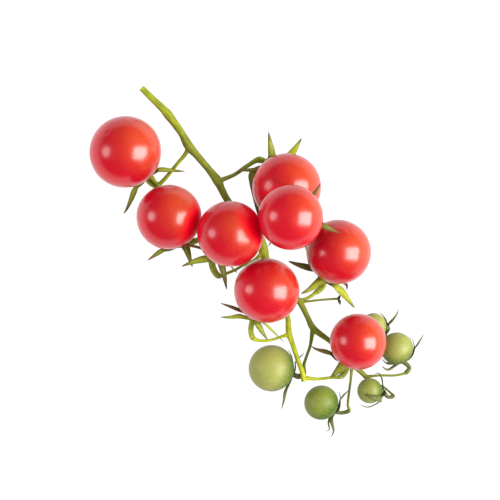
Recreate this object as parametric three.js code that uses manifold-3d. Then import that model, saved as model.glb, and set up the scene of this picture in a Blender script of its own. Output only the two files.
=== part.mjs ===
// A truss of cherry tomatoes as picked, lying on a table: one grown stalk that forks in two, with eight
// ripe and five unripe tomatoes, each held by a green calyx. Millimetres, +Z up. The origin is at the
// bottom centre of the whole truss, +Y runs towards the end where the stalk was cut.
import * as THREE from 'three';
import { mergeVertices } from 'three/addons/utils/BufferGeometryUtils.js';
import Module from 'manifold-3d';

const wasm = await Module();
wasm.setup();

// Driving dimensions.
const GAP = 0.35; // air between a fruit and its calyx, and between a knuckle's two halves
const FLATTENING = 0.97; // a fruit's length along its stem axis, over its width
const DIMPLE_DEPTH = 0.055; // of the hollow at a fruit's stem end, over its radius
const DIMPLE_SPREAD = 0.32; // angle that the hollow spreads over, in radians
const SEPAL_THICKNESS = 0.5;
const SEPAL_TIP = 0.22; // half the width of a sepal at its tip
const STEM_STEPS = 1; // facets between two rows of a stem

// What differs between a ripe and an unripe tomato. sepalStep is the length of one facet along a sepal,
// and around and along are a fruit's facets.
const RIPE = {
  hub: 1.8, sepalHalfWidth: 1.05, sepalStep: 3, around: 18, along: 11,
  colour: 0xd8281c, roughness: 0.25, calyxColour: 0x76831f,
};
const GREEN = {
  hub: 1.1, sepalHalfWidth: 0.75, sepalStep: 2.2, around: 14, along: 9,
  colour: 0xb0b95e, roughness: 0.4, calyxColour: 0x7f8a55,
};

// The stalk's three stretches, as rows of x, y, z and radius. The rachis runs from its cut end to the fork,
// and is thicker at each place where a fruit's stem leaves it.
const RACHIS = [
  [-45, 68.5, 9, 1.15], [-40.6, 64.1, 9, 1.25], [-37, 60.7, 9, 1.45], [-34.4, 57.8, 8.5, 1.75],
  [-32, 54.6, 8.5, 1.45], [-29.2, 50.6, 8.5, 1.35], [-26.6, 45.9, 8, 1.75], [-22.9, 41.6, 8, 1.4],
  [-19, 37, 7.5, 1.3], [-15, 31.8, 7.5, 1.75], [-13.7, 29, 7.5, 1.4], [-11.3, 24.5, 7, 1.3],
  [-6.5, 18.5, 7, 1.35], [-1.5, 14, 6.5, 1.4], [2, 9, 6.5, 1.5], [3, 4.5, 6, 1.9],
  [4, 1, 6, 1.5], [6.5, -5, 5.5, 1.6],
];
const NEAR_BRANCH = [
  [6.5, -5, 5.5, 1.4], [9, -12.5, 6, 1.1], [11, -18, 7, 1.1], [12.5, -22, 8.5, 1.05],
  [13, -28, 9.5, 1.25], [14.5, -32.5, 9.5, 1], [16.5, -38.5, 9, 0.95], [18, -42.5, 9, 1],
  [19, -47, 9, 1.1],
];
const FAR_BRANCH = [
  [6.5, -5, 5.5, 1.4], [11.5, -10.5, 5.5, 1.15], [17, -15.5, 6, 1.25], [20.5, -22, 6, 1.1],
  [22.5, -26, 6, 1.35], [29.5, -31.5, 5.5, 1], [35, -37, 5, 1.15], [38, -40.5, 5, 1.15],
  [41, -43, 4.5, 1.05], [44, -46, 3.5, 1], [45, -47.5, 3, 0.9],
];
// The thin stalk of a flower that set no fruit, with its dried remnant at the end.
const SPENT_FLOWER = [
  [17.5, -16, 6, 0.5], [25.5, -15, 6.5, 0.42], [32.5, -14.5, 6.5, 0.4], [33, -15.5, 6.5, 0.65],
  [33, -16.5, 6.5, 0.4],
];

// Each tomato: its centre and radius; the way its stem end faces, as an azimuth about +Z and a tilt from
// straight down, in degrees; its stem from the rachis or a branch to the calyx, as rows of x, y, z and
// radius, with the row where the knuckle is; and its sepals, each as points from the fruit's centre.
const TOMATOES = [
  {
    name: 'ripe_1', kind: RIPE, centre: [-51, 43.1, 14.1], radius: 14.1, azimuth: -48, tilt: 43,
    stem: [
      [-26.5, 45, 8, 1], [-28, 42, 7.5, 0.65], [-30, 40, 7, 0.6], [-33, 36.5, 5.5, 0.6],
      [-37, 32, 3.5, 0.7], [-39, 30.5, 3, 1.3], [-41.5, 31.5, 2, 1.2], [-43.5, 34, 2, 1.3],
    ],
    knuckle: 5,
    sepals: [
      [[12, -6.5, -4.5], [17, -7, -4], [23, -7.5, -5]],
      [[4, -12, -5.5], [2, -18, -5.5], [0, -22.5, -6], [-1, -24, -5]],
      [[9, -9, -9.5], [11.5, -12, -9], [12.5, -14, -8.5]],
      [[9, -2.5, -9], [11, 0.5, -7]],
      [[1.5, -10, -9.5], [-2, -11.5, -7]],
    ],
  },
  {
    name: 'ripe_2', kind: RIPE, centre: [-33.9, 17.6, 16.5], radius: 12.7, azimuth: -63, tilt: 44,
    stem: [
      [-6.5, 18.5, 7, 1], [-12, 14, 6, 0.65], [-18, 10.5, 5.5, 0.65], [-23.5, 8.5, 5, 1.3],
      [-27, 7.5, 5, 1.2],
    ],
    knuckle: 3,
    sepals: [
      [[-2, -12, -4], [-5, -14.5, -3.5], [-8.5, -17, -4]],
      [[6.5, -12, -5], [8, -16.5, -4.5], [9, -19.5, -5]],
      [[8, -3, -8], [11, 0.5, -5]],
      [[-1, -9, -8.5], [-5.5, -9, -6.5]],
    ],
  },
  {
    name: 'ripe_3', kind: RIPE, centre: [-9.9, 10.9, 26], radius: 12.75, azimuth: -125, tilt: 40,
    stem: [
      [3, 4.5, 6, 1.2], [1.5, 2.5, 6.5, 0.9], [-1, 0.5, 7, 0.65], [-4.5, -1, 7, 0.6],
      [-8, -3, 7.5, 0.6], [-11.5, -4.5, 8, 0.65], [-14.5, -5.5, 8.5, 1.2], [-16.5, -3, 10.5, 1.2],
      [-17, 0.5, 12.5, 1.2],
    ],
    knuckle: 6,
    sepals: [
      [[-10.5, -5.5, -5.5], [-16, -4.5, -5], [-21, -5.5, -4.5]],
      [[-8.5, -9, -5], [-14, -10.5, -6.5], [-19, -12.5, -8]],
      [[-3.5, -11, -6.5], [-2.5, -16, -6.5], [-1.5, -21.5, -8.5]],
      [[0, -12, -6], [1.5, -14, -6.5], [3.5, -15.5, -7.5]],
      [[-9, -2.5, -9], [-10.5, 1.5, -6.5]],
    ],
  },
  {
    name: 'ripe_4', kind: RIPE, centre: [12, 29.1, 14.1], radius: 13.5, azimuth: 125, tilt: 43,
    stem: [
      [-14.5, 32, 7.5, 1], [-8.5, 34.5, 6, 0.7], [-3.5, 38, 4.5, 0.75], [1, 40.5, 3, 1.3],
      [3.5, 40, 2, 1.2], [5.5, 39, 2, 1.2],
    ],
    knuckle: 3,
    sepals: [
      [[-5.5, 12, -4.5], [-7, 18.5, -4], [-7, 22, -5]],
      [[2, 13.5, -3.5], [4, 16.5, -3.5], [6, 19.5, -4]],
      [[-11, 7, -4.5], [-16, 7, -5], [-20, 6.5, -5.5]],
      [[-13, 5.5, -7], [-13, 3, -7], [-12.5, -2, -7.5], [-11, -10, -7.5]],
    ],
  },
  {
    name: 'ripe_5', kind: RIPE, centre: [13, 17, 38], radius: 12.3, azimuth: 0, tilt: 8,
    stem: [
      [0, 13, 6.5, 1], [3, 12.5, 8, 0.7], [6.5, 12, 10.5, 0.65], [11, 13, 14.5, 0.65],
      [13.5, 14, 18.5, 1.2], [14.5, 16, 22, 1.1],
    ],
    knuckle: 4,
    sepals: [
      [[12, -3, -5], [19, -6, -6]],
      [[9, 9, -4], [11.5, 13, -5]],
      [[6, -11.5, -5], [7.5, -15.5, -7]],
      [[-9.5, 8, -4], [-11, 8.5, -4.5]],
      [[-7.5, -9.5, -5], [-8.5, -11, -6]],
    ],
  },
  {
    name: 'ripe_6', kind: RIPE, centre: [32.3, 4, 12.8], radius: 12.7, azimuth: -115, tilt: 45,
    stem: [
      [17, -15.5, 6, 1], [20, -14.5, 5, 0.7], [22, -13.5, 4, 0.7], [24, -12, 3, 1.15],
      [26.5, -10, 2, 1.1], [27.5, -7, 2, 1.2],
    ],
    knuckle: 3,
    sepals: [
      [[-7.5, -6, -9], [-11, -6, -5.5], [-15, -5, -4], [-19.5, -3.5, -4.5]],
      [[-6.5, -11, -4.5], [-11.5, -15, -4.5], [-14.5, -16.5, -4]],
      [[-0.5, -13, -3.5], [3, -17.5, -3], [6.5, -22, -3.5]],
      [[3.5, -13, -4.5], [3.5, -15, -5]],
    ],
  },
  {
    name: 'ripe_7', kind: RIPE, centre: [4.1, -11, 19.8], radius: 12.75, azimuth: -116, tilt: 55,
    stem: [
      [13, -28.5, 9.5, 0.9], [9.5, -29.5, 9.5, 0.6], [6.5, -30.5, 9.5, 0.55], [3, -31, 9.5, 0.6],
      [-1, -30, 9.5, 1.15], [-2, -27, 10, 1.1], [-1.5, -23.5, 10.5, 1.2],
    ],
    knuckle: 4,
    sepals: [
      [[-8.5, -9, -3.5], [-10.5, -7.5, -3], [-15, -6, -3.5], [-18, -5, -4.5]],
      [[-6.5, -10.5, -5], [-10.5, -10, -4.5], [-14, -10.5, -5], [-18, -10.5, -5.5]],
      [[-3.5, -12.5, -5], [-2, -15.5, -5], [0.5, -19.5, -6]],
      [[-1.5, -12, -4.5], [2.5, -16, -5], [7, -20.5, -6.5]],
      [[-9, -4, -6.5], [-11, 0, -3.5]],
    ],
  },
  {
    name: 'ripe_8', kind: RIPE, centre: [39.6, -30.8, 19.8], radius: 11, azimuth: -116, tilt: 47,
    stem: [
      [18.7, -45.5, 9, 0.9], [24.5, -46, 9.5, 0.6], [29, -45.5, 9.5, 0.6], [33.5, -45, 9, 1.15],
      [35.5, -42.5, 9.5, 1.1],
    ],
    knuckle: 3,
    sepals: [
      [[-10, -4.5, -3.5], [-12.5, -4, -3.5], [-16.5, -3, -4.5], [-18, -2, -5]],
      [[-6, -10, -5.5], [-8, -12, -6.5], [-10.5, -14.5, -8]],
      [[2, -10, -5.5], [3.5, -10.5, -4.5]],
      [[6, -6.5, -7.5], [7.5, -4.5, -5.5]],
      [[-6.5, -3.5, -7.5], [-9, 0, -5]],
    ],
  },
  {
    name: 'green_1', kind: GREEN, centre: [6.1, -41.8, 9.2], radius: 9.15, azimuth: -17, tilt: 58,
    stem: [
      [22.5, -26, 6, 1], [21.5, -33, 5.5, 0.65], [20, -37.5, 5, 0.6], [19, -41, 4.5, 0.7],
      [19, -44, 4, 1.1], [17, -45.5, 3, 1.1],
    ],
    knuckle: 4,
    sepals: [
      [[7, -5.5, -4], [5.5, -9, -2.5], [5, -12.5, -2.5], [4, -16.5, -3]],
      [[8.5, -1, -3], [9.5, 2.5, -2], [11.5, 4.5, -2], [13, 6, -2]],
      [[7, 2, -4], [6, 6.5, -1]],
      [[4.5, -6.5, -5], [0.5, -7, -3]],
    ],
  },
  {
    name: 'green_2', kind: GREEN, centre: [25.8, -55.5, 6.8], radius: 6.8, azimuth: -36, tilt: 55,
    stem: [
      [38, -41, 5, 0.8], [37.5, -47, 4.5, 0.5], [37, -51, 4, 0.5], [36.5, -57, 3, 0.55],
      [37, -59, 2.5, 0.9], [34, -60, 2, 0.75],
    ],
    knuckle: 4,
    sepals: [
      [[4.5, -4.5, -3], [4, -7, -2.5], [5, -11.5, -2.5], [4, -14, -3]],
      [[3.5, -6, -3.5], [3, -9, -4], [3.5, -11, -4.5], [1.5, -12, -4.5]],
      [[6, -1, -2], [8.5, 2.5, -1], [11, 5, -0.5]],
      [[6.5, 0, -0.5], [7.5, 2.5, 0.5], [6, 4.5, 1]],
    ],
  },
  {
    name: 'green_3', kind: GREEN, centre: [44.8, -50.7, 8.5], radius: 5, azimuth: -6, tilt: 63,
    stem: [
      [45, -47.5, 3, 0.6], [47.5, -48.5, 3, 0.45], [50.5, -49.5, 3.5, 0.45], [53.5, -52, 4, 0.5],
      [54.5, -53, 4.5, 0.8], [52.5, -53.5, 5, 0.75],
    ],
    knuckle: 4,
    sepals: [
      [[5, -2, -1], [4, -2.5, 1.5], [1.5, -2, 4.5], [-2, -1, 5]],
      [[5, 2.5, -0.5], [4.5, 5.5, 0], [3.5, 7, 0], [2, 6.5, 0]],
      [[4, -4, -1.5], [2, -5.5, -1], [-1, -6.5, -1], [-4, -5.5, -1.5]],
    ],
  },
  {
    name: 'green_4', kind: GREEN, centre: [55.6, -34.1, 7], radius: 6.4, azimuth: -66, tilt: 47,
    stem: [
      [43.5, -45.5, 4, 0.7], [49, -45, 4, 0.5], [55, -45, 4, 0.5], [58, -44.5, 3.5, 0.55],
      [59.5, -44, 3, 0.95], [61, -42, 2, 0.85],
    ],
    knuckle: 4,
    sepals: [
      [[3.5, -3.5, -2.5], [5, -2, -1.5], [8.5, 2, -0.5], [10, 4.5, -0.5], [10.5, 6, 0]],
      [[1, -5.5, -4], [-1, -7, -2], [-3.5, -8.5, -1], [-6, -7, 0]],
      [[5, -1.5, -2], [6, 2, 0], [4.5, 4.5, 2]],
      [[-3, -6, -3], [-4.5, -5.5, -1.5], [-6, -4, 0]],
    ],
  },
  {
    name: 'green_5', kind: GREEN, centre: [46.5, -25.5, 5.3], radius: 5.3, azimuth: -8, tilt: 72,
    stem: [
      [36, -37.5, 5, 0.8], [42, -35, 3.5, 0.5], [46.5, -33.5, 3, 0.5], [50, -31.5, 3, 0.85],
      [51.5, -28.5, 2.5, 0.75],
    ],
    knuckle: 3,
    sepals: [
      [[6, 1, -1], [7.5, 2.5, 0], [9, 4.5, 0.5], [10, 7, 1]],
      [[3.5, 3, -1.5], [1.5, 4, 0.5]],
    ],
  },
];

const point = ([x, y, z]) => new THREE.Vector3(x, y, z);

// The way a tomato's stem end faces.
function stemAxis({ azimuth, tilt }) {
  const turn = THREE.MathUtils.degToRad(azimuth);
  const lean = THREE.MathUtils.degToRad(tilt);
  return new THREE.Vector3(Math.sin(lean) * Math.cos(turn), Math.sin(lean) * Math.sin(turn), -Math.cos(lean));
}

// A closed body through a row of rings that all have the same number of points.
function loft(rings) {
  const around = rings[0].length;
  const indices = [];
  for (let i = 0; i < rings.length - 1; i += 1) {
    for (let j = 0; j < around; j += 1) {
      const a = i * around + j;
      const b = i * around + ((j + 1) % around);
      indices.push(a, b, b + around, a, b + around, a + around);
    }
  }
  const last = (rings.length - 1) * around;
  for (let j = 1; j < around - 1; j += 1) {
    indices.push(0, j + 1, j, last, last + j, last + j + 1);
  }
  const geometry = new THREE.BufferGeometry().setFromPoints(rings.flat());
  geometry.setIndex(indices);
  return geometry;
}

// One ring about a centre: across and up span its plane, and outline gives its points in that plane.
function ring(centre, across, up, outline) {
  return outline.map(([u, v]) => centre.clone().addScaledVector(across, u).addScaledVector(up, v));
}

// A round stem along rows of x, y, z and radius, from one row to another. trimStart and trimEnd shorten it.
function stem(rows, sides, { from = 0, to = rows.length - 1, trimStart = 0, trimEnd = 0 } = {}) {
  const curve = new THREE.CatmullRomCurve3(rows.map(point), false, 'centripetal');
  const spans = rows.length - 1;
  const frames = curve.computeFrenetFrames(spans * STEM_STEPS, false);
  const outline = Array.from({ length: sides }, (_, j) => {
    const angle = (2 * Math.PI * j) / sides;
    return [Math.cos(angle), Math.sin(angle)];
  });
  const rings = [];
  for (let i = from * STEM_STEPS; i <= to * STEM_STEPS; i += 1) {
    const along = i / STEM_STEPS;
    const row = Math.min(Math.floor(along), spans - 1);
    const radius = THREE.MathUtils.lerp(rows[row][3], rows[row + 1][3], along - row);
    const tangent = curve.getTangent(along / spans);
    const centre = curve.getPoint(along / spans);
    if (along === from) centre.addScaledVector(tangent, trimStart);
    if (along === to) centre.addScaledVector(tangent, -trimEnd);
    const across = frames.normals[i].clone();
    across.addScaledVector(tangent, -across.dot(tangent)).normalize();
    const up = tangent.clone().cross(across);
    rings.push(ring(centre, across.multiplyScalar(radius), up.multiplyScalar(radius), outline));
  }
  return loft(rings);
}

// Moves a point out of every fruit, as far as its clearance needs.
function clearOfFruits(place, ownFruit, halfWidth) {
  for (const tomato of TOMATOES) {
    const margin = GAP + SEPAL_THICKNESS / 2 + (tomato === ownFruit ? 0 : halfWidth);
    const fromCentre = place.clone().sub(point(tomato.centre));
    if (fromCentre.length() < tomato.radius + margin) {
      place.copy(point(tomato.centre)).addScaledVector(fromCentre.normalize(), tomato.radius + margin);
    }
  }
  return place;
}

// A sepal: a thin blade that starts at the hub, follows the fruit's skin round, and leaves it to end in a
// point. Its section is a flat diamond.
function sepal(tomato, points) {
  const centre = point(tomato.centre);
  const axis = stemAxis(tomato);
  const root = centre.clone().addScaledVector(axis, tomato.radius + GAP + SEPAL_THICKNESS);
  const places = [root, ...points.map((offset) => point(offset).add(centre))];
  const curve = new THREE.CatmullRomCurve3(places, false, 'centripetal');
  const steps = Math.max(4, Math.round(curve.getLength() / tomato.kind.sepalStep));
  const halfWidths = Array.from({ length: steps + 1 }, (_, i) => (
    tomato.kind.sepalHalfWidth * (1 - i / steps) ** 0.8 + SEPAL_TIP
  ));
  const path = curve.getSpacedPoints(steps).map((place, i) => clearOfFruits(place, tomato, halfWidths[i]));
  const outline = [[1, 0], [0, 1], [-1, 0], [0, -1]];
  const outward = axis.clone();
  const rings = path.map((place, i) => {
    const tangent = path[Math.min(i + 1, steps)].clone().sub(path[Math.max(i - 1, 0)]).normalize();
    outward.addScaledVector(tangent, -outward.dot(tangent)).normalize();
    const across = outward.clone().cross(tangent);
    const up = outward.clone().multiplyScalar(SEPAL_THICKNESS / 2);
    return ring(place, across.multiplyScalar(halfWidths[i]), up, outline);
  });
  return loft(rings);
}

// A tomato's flesh: round, a little flattened, with a shallow hollow at the stem end. It is turned so
// that the lathe's +Y faces the way the stem end does.
function fruit(tomato) {
  const { radius, kind } = tomato;
  const profile = [];
  for (let i = 0; i <= kind.along; i += 1) {
    const angle = (Math.PI * i) / kind.along;
    const hollow = DIMPLE_DEPTH * Math.exp(-((angle / DIMPLE_SPREAD) ** 2));
    const width = i === 0 || i === kind.along ? 0 : radius * Math.sin(angle);
    profile.push(new THREE.Vector2(width, radius * (FLATTENING * Math.cos(angle) - hollow)));
  }
  profile.reverse();
  const geometry = new THREE.LatheGeometry(profile, kind.around);
  const turn = new THREE.Quaternion().setFromUnitVectors(new THREE.Vector3(0, 1, 0), stemAxis(tomato));
  geometry.applyQuaternion(turn);
  return geometry;
}

// Turns a closed geometry into a solid for joining.
function solid(geometry) {
  geometry.deleteAttribute('normal');
  geometry.deleteAttribute('uv');
  const merged = mergeVertices(geometry);
  return new wasm.Manifold(new wasm.Mesh({
    numProp: 3,
    vertProperties: new Float32Array(merged.attributes.position.array),
    triVerts: new Uint32Array(merged.index.array),
  }));
}

// Joins closed geometries into one.
function join(geometries) {
  const whole = geometries.map(solid).reduce((sum, next) => sum.add(next));
  const { vertProperties, triVerts } = whole.getMesh();
  const geometry = new THREE.BufferGeometry();
  geometry.setAttribute('position', new THREE.BufferAttribute(vertProperties, 3));
  geometry.setIndex(new THREE.BufferAttribute(triVerts, 1));
  return geometry;
}

// A tomato's whole stem: its own rows, and then the hub that sits on the fruit's stem end.
function wholeStem(tomato) {
  const centre = point(tomato.centre);
  const axis = stemAxis(tomato);
  const { hub } = tomato.kind;
  const skin = tomato.radius * (FLATTENING - DIMPLE_DEPTH) + GAP;
  const hubOuter = centre.clone().addScaledVector(axis, tomato.radius + 2.5 * GAP).toArray();
  const hubInner = centre.clone().addScaledVector(axis, skin).toArray();
  return [...tomato.stem, [...hubOuter, hub * 0.8], [...hubInner, hub]];
}

// The calyx: the thick upper part of the fruit's stem, from the knuckle to the hub, with the sepals.
function calyx(tomato) {
  const upperStem = stem(wholeStem(tomato), 6, { from: tomato.knuckle, trimStart: GAP / 2 });
  return join([upperStem, ...tomato.sepals.map((points) => sepal(tomato, points))]);
}

// The stalk: rachis, two branches, the spent flower's stalk, and each fruit's stem up to its knuckle.
function stalk() {
  const lowerStems = TOMATOES.map((tomato) => (
    stem(wholeStem(tomato), 6, { to: tomato.knuckle, trimEnd: GAP / 2 })
  ));
  return join([
    stem(RACHIS, 8), stem(NEAR_BRANCH, 8), stem(FAR_BRANCH, 8), stem(SPENT_FLOWER, 6), ...lowerStems,
  ]);
}

function named(name, geometry, color, roughness) {
  geometry.computeVertexNormals();
  const mesh = new THREE.Mesh(geometry, new THREE.MeshStandardMaterial({ color, roughness, metalness: 0 }));
  mesh.name = name;
  return mesh;
}

const truss = new THREE.Group();
truss.add(named('stalk', stalk(), 0x93a02c, 0.6));
for (const tomato of TOMATOES) {
  const { kind, name } = tomato;
  const body = named(`tomato_${name}`, fruit(tomato), kind.colour, kind.roughness);
  body.position.set(...tomato.centre);
  truss.add(body, named(`calyx_${name}`, calyx(tomato), kind.calyxColour, 0.7));
}

// Stands the truss on the table, centred on the origin.
const box = new THREE.Box3().setFromObject(truss, true);
const middle = box.getCenter(new THREE.Vector3());
truss.position.set(-middle.x, -middle.y, -box.min.z);

const group = new THREE.Group();
group.add(truss);
export default group;
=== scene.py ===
import math
import statistics

import bpy
from mathutils import Matrix, Vector, kdtree, noise


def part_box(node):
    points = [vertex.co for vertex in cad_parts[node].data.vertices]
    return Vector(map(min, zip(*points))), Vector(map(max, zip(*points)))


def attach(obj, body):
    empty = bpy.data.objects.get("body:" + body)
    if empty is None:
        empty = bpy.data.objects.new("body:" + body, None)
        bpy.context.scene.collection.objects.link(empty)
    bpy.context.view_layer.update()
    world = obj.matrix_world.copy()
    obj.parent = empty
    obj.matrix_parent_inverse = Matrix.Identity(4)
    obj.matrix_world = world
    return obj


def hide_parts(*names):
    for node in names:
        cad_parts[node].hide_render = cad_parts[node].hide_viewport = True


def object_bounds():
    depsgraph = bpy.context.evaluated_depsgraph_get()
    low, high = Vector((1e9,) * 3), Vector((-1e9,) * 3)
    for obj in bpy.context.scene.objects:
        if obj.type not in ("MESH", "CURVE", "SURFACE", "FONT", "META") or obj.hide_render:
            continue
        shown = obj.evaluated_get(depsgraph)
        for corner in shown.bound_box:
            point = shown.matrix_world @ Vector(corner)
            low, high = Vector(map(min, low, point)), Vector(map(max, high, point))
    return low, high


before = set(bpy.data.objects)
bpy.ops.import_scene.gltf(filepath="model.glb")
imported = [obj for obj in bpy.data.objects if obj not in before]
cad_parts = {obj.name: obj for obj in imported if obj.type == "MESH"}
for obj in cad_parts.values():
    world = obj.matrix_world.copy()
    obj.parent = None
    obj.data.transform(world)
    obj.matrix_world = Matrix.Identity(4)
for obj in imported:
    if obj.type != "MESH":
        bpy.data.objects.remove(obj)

MM = 0.001
cad_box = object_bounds()


# The camera. It stands straight above the truss, a little towards the cut end of the stalk, and far
# enough off that the fruits show nearly without perspective.
VIEW_HEIGHT = 715 * MM
VIEW_ASIDE = Vector((-3.0, 4.86, 0)) * MM
cad_middle = (Vector(cad_box[0]) + Vector(cad_box[1])) / 2
bpy.ops.object.select_all(action="DESELECT")
bpy.ops.object.camera_add(location=(cad_middle.x + VIEW_ASIDE.x, cad_middle.y + VIEW_ASIDE.y, VIEW_HEIGHT))
camera = bpy.context.object
camera.data.sensor_width = 36
camera.data.lens = 129.2
bpy.context.scene.camera = camera
bpy.context.scene.view_settings.view_transform = "Standard"


# The studio. A white table that glows, as a light table does, so that no shadow shows on it, with a large
# soft box half-way up on the right and a smaller, weaker one lower on the left.
def linear(code):
    """An sRGB colour such as "d8281c" as linear red, green, blue and alpha."""
    parts = [int(code[i:i + 2], 16) / 255 for i in (0, 2, 4)]
    return [p / 12.92 if p <= 0.04045 else ((p + 0.055) / 1.055) ** 2.4 for p in parts] + [1]


def add_node(material, kind, inputs=None, stops=(), **settings):
    """Adds a node. inputs holds values, or output sockets to link; stops are a colour ramp's."""
    node = material.node_tree.nodes.new(kind)
    for name, value in settings.items():
        setattr(node, name, value)
    for name, value in (inputs or {}).items():
        if isinstance(value, bpy.types.NodeSocket):
            material.node_tree.links.new(value, node.inputs[name])
        else:
            node.inputs[name].default_value = value
    for number, (position, code) in enumerate(stops):
        elements = node.color_ramp.elements
        element = elements[number] if number < 2 else elements.new(position)
        element.position = position
        element.color = linear(code)
    return node


def new_material(name):
    """A material with its output node only, and that node."""
    material = bpy.data.materials.new(name)
    material.use_nodes = True
    material.node_tree.nodes.clear()
    return material, material.node_tree.nodes.new("ShaderNodeOutputMaterial")


TABLE_SIDE = 6.0
TABLE_GLOW = 0.97

bpy.ops.mesh.primitive_plane_add(size=TABLE_SIDE, location=(0, 0, -0.1 * MM))
table_top = bpy.context.object
table_top.name = "table_top"
paper, paper_output = new_material("White backing paper, matt")
paper_shader = add_node(paper, "ShaderNodeBsdfPrincipled", {
    "Base Color": linear("484848"), "Roughness": 0.9,
    "Emission Color": linear("ffffff"), "Emission Strength": TABLE_GLOW,
})
paper.node_tree.links.new(paper_shader.outputs[0], paper_output.inputs["Surface"])
table_top.data.materials.append(paper)

# Each soft box: the way to it from the truss, its distance, width, height, how bright its face is, and
# its shape.
SOFT_BOXES = {
    "main_soft_box": ((0.77, -0.05, 0.63), 1.0, 0.70, 0.84, 15.0, "RECTANGLE"),
    "fill_soft_box": ((-0.89, 0.07, 0.44), 1.0, 0.44, 0.50, 5.5, "ELLIPSE"),
}
for box_name, (way, distance, width, height, brightness, shape) in SOFT_BOXES.items():
    place = cad_middle + Vector(way).normalized() * distance
    bpy.ops.object.light_add(type="AREA", location=place)
    soft_box = bpy.context.object
    soft_box.name = box_name
    soft_box.rotation_euler = Vector(way).to_track_quat("Z", "Y").to_euler()
    soft_box.data.shape = shape
    soft_box.data.size = width
    soft_box.data.size_y = height
    soft_box.data.energy = brightness * math.pi * width * height

room = bpy.data.worlds.new("Studio room, pale grey")
bpy.context.scene.world = room
room.use_nodes = True
room.node_tree.nodes["Background"].inputs["Color"].default_value = linear("ffffff")
room.node_tree.nodes["Background"].inputs["Strength"].default_value = 1.2
room.cycles_visibility.glossy = False


# The tomatoes: each is one grown berry, round, a little flattened along its stem axis, with a shallow
# hollow where the calyx sits and a small scar where the flower was. Ripe ones have a taut waxy skin.
FLATTENING = 0.97
HOLLOW_DEPTH = 0.055
HOLLOW_SPREAD = 0.55

# Each tomato, in millimetres: its centre and radius; the way that its stem end faces, as an azimuth about
# +Z and a tilt from straight down, in degrees.
TOMATOES = {
    "ripe_1": ((-51, 43.1, 14.1), 14.1, -48, 43),
    "ripe_2": ((-33.9, 17.6, 16.5), 12.7, -63, 44),
    "ripe_3": ((-9.9, 10.9, 26), 12.75, -125, 40),
    "ripe_4": ((12, 29.1, 14.1), 13.5, 125, 43),
    "ripe_5": ((13, 17, 38), 12.3, 0, 8),
    "ripe_6": ((32.3, 4, 12.8), 12.7, -115, 45),
    "ripe_7": ((4.1, -11, 19.8), 12.75, -116, 55),
    "ripe_8": ((39.6, -30.8, 19.8), 11, -116, 47),
    "green_1": ((6.1, -41.8, 9.2), 9.15, -17, 58),
    "green_2": ((25.8, -55.5, 6.8), 6.8, -36, 55),
    "green_3": ((44.8, -50.7, 8.5), 5, -6, 63),
    "green_4": ((55.6, -34.1, 7), 6.4, -66, 47),
    "green_5": ((46.5, -25.5, 5.3), 5.3, -8, 72),
}


def stem_axis(name):
    """The way a tomato's stem end faces."""
    turn, lean = (math.radians(angle) for angle in TOMATOES[name][2:])
    return Vector((math.sin(lean) * math.cos(turn), math.sin(lean) * math.sin(turn), -math.cos(lean)))


# The truss's own measures start at the middle of its stalk, and the frame's origin is under the middle of
# its box, so the boxes of the tomatoes tell how far apart the two are.
SHIFT = Vector([
    statistics.median(
        sum(corner[axis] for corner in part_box(f"tomato_{name}")) / 2 - TOMATOES[name][0][axis] * MM
        for name in TOMATOES
    )
    for axis in range(3)
])


def in_frame(place):
    """A place in the truss's own millimetres, in the frame's metres."""
    return Vector(place[:3]) * MM + SHIFT


def select_only(*pieces):
    """Selects these objects and makes the first one active."""
    bpy.ops.object.select_all(action="DESELECT")
    for piece in pieces:
        piece.select_set(True)
    bpy.context.view_layer.objects.active = pieces[0]


def apply_modifier(piece, kind, **settings):
    """Adds a modifier to a piece and applies it."""
    select_only(piece)
    modifier = piece.modifiers.new(kind.lower(), kind)
    for name, value in settings.items():
        setattr(modifier, name, value)
    bpy.ops.object.modifier_apply(modifier=modifier.name)


def pull(piece, test, move, reach):
    """Moves the vertices that pass the test, and those within reach follow softly."""
    select_only(piece)
    bpy.ops.object.mode_set(mode="EDIT")
    bpy.ops.mesh.select_all(action="DESELECT")
    bpy.ops.object.mode_set(mode="OBJECT")
    for vertex in piece.data.vertices:
        vertex.select = test(vertex.co)
    bpy.ops.object.mode_set(mode="EDIT")
    bpy.ops.transform.translate(
        value=move, use_proportional_edit=True, proportional_edit_falloff="SMOOTH", proportional_size=reach,
    )
    bpy.ops.object.mode_set(mode="OBJECT")


bpy.ops.object.select_all(action="DESELECT")
bpy.ops.mesh.primitive_uv_sphere_add(segments=96, ring_count=64, radius=1)
pattern_fruit = bpy.context.object
bpy.ops.object.mode_set(mode="EDIT")
bpy.ops.transform.resize(value=(1, 1, FLATTENING))
bpy.ops.object.mode_set(mode="OBJECT")
pull(pattern_fruit, lambda co: co.z < -0.965, (0, 0, HOLLOW_DEPTH), HOLLOW_SPREAD)
pull(pattern_fruit, lambda co: co.z > 0.9695, (0, 0, -0.012), 0.08)
bpy.ops.object.shade_smooth()

unevenness = bpy.data.textures.new("slow unevenness of a fruit", "CLOUDS")
unevenness.noise_scale = 18 * MM


def grow_fruit(name, piece_name):
    """A copy of the pattern fruit at a tomato's size and place, with its own slight unevenness."""
    centre, radius = TOMATOES[name][:2]
    piece = pattern_fruit.copy()
    piece.data = pattern_fruit.data.copy()
    piece.name = piece_name
    bpy.context.collection.objects.link(piece)
    turn = (-stem_axis(name)).to_track_quat("Z", "Y")
    piece.matrix_world = Matrix.LocRotScale(in_frame(centre), turn, Vector((1, 1, 1)) * radius * MM)
    select_only(piece)
    bpy.ops.object.transform_apply(location=True, rotation=True, scale=True)
    apply_modifier(piece, "DISPLACE", texture=unevenness, strength=0.025 * radius * MM, mid_level=0.42)
    return piece


def store(piece, name, values):
    """Writes one number per vertex to a piece, for its material to read."""
    attribute = piece.data.attributes.new(name, "FLOAT", "POINT")
    attribute.data.foreach_set("value", values)


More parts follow.
